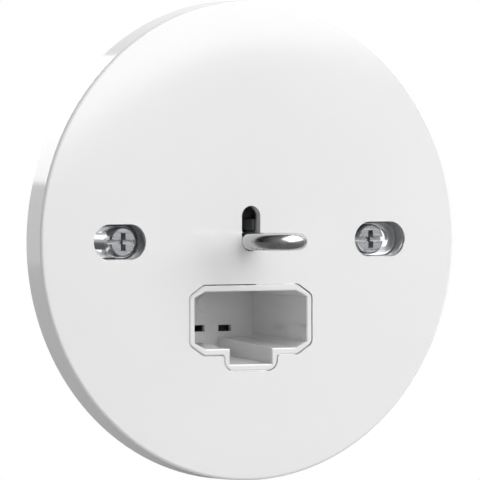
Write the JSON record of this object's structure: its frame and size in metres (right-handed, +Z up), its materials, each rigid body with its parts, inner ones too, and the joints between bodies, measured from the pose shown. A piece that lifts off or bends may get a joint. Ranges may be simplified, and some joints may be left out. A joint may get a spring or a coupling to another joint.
{
  "type": "ceiling rose",
  "caption": "Round white ceiling rose with a turning wire hook, a recessed plug-in lamp outlet, ceiling screws in slotted cups and push-in wire terminals behind.",
  "frame": {"origin": "on the hook's turning axis, in the plane where the rear edge of the cover meets the ceiling", "axes": "+Y into the ceiling, -Y out into the room, +Z up the face as pictured (the outlet lies below the hook), +X across the face through both screws"},
  "size_m": [0.1, 0.0534, 0.1],
  "materials": {
    "white_cover": "gloss",
    "white_insert": "gloss",
    "bridge_steel": "zinc plated",
    "hook_chrome": "polished",
    "screw_steel": "zinc plated",
    "block_plastic": "matt grey",
    "rear_plastic": "satin pale grey",
    "contact_brass": "rolled strip",
    "spring_steel": "stainless strip",
    "button_plastic": "satin orange"
  },
  "bodies": {
    "rose": {"cover": "white_cover", "mounting_bridge": "bridge_steel", "hook_spring": "spring_steel", "fixing_screws": "screw_steel", "socket_housing": "white_insert", "housing_screws": "screw_steel", "terminal_block": "block_plastic", "terminal_cover": "rear_plastic", "earth_strap": "contact_brass", "earth_rivet": "contact_brass", "neutral_contact": "contact_brass", "neutral_clamp_spring": "spring_steel", "earth_contact": "contact_brass", "earth_clamp_spring": "spring_steel", "line_contact": "contact_brass", "line_clamp_spring": "spring_steel"},
    "hook": {"hook": "hook_chrome"},
    "neutral_release": {"neutral_release_button": "button_plastic"},
    "earth_release": {"earth_release_button": "button_plastic"},
    "line_release": {"line_release_button": "button_plastic"}
  },
  "joints": [
    {"name": "hook_turn", "type": "hinge", "parent": "rose", "child": "hook", "pos_m": [0, 0, 0], "axis": [0, 1, 0], "range_deg": [0, 90]},
    {"name": "neutral_release_press", "type": "slide", "parent": "rose", "child": "neutral_release", "axis": [0, -1, 0], "range_m": [0, 0.0015], "stiffness_N_per_m": 2000, "springref_m": -0.001},
    {"name": "earth_release_press", "type": "slide", "parent": "rose", "child": "earth_release", "axis": [0, -1, 0], "range_m": [0, 0.0015], "stiffness_N_per_m": 2000, "springref_m": -0.001},
    {"name": "line_release_press", "type": "slide", "parent": "rose", "child": "line_release", "axis": [0, -1, 0], "range_m": [0, 0.0015], "stiffness_N_per_m": 2000, "springref_m": -0.001}
  ]
}
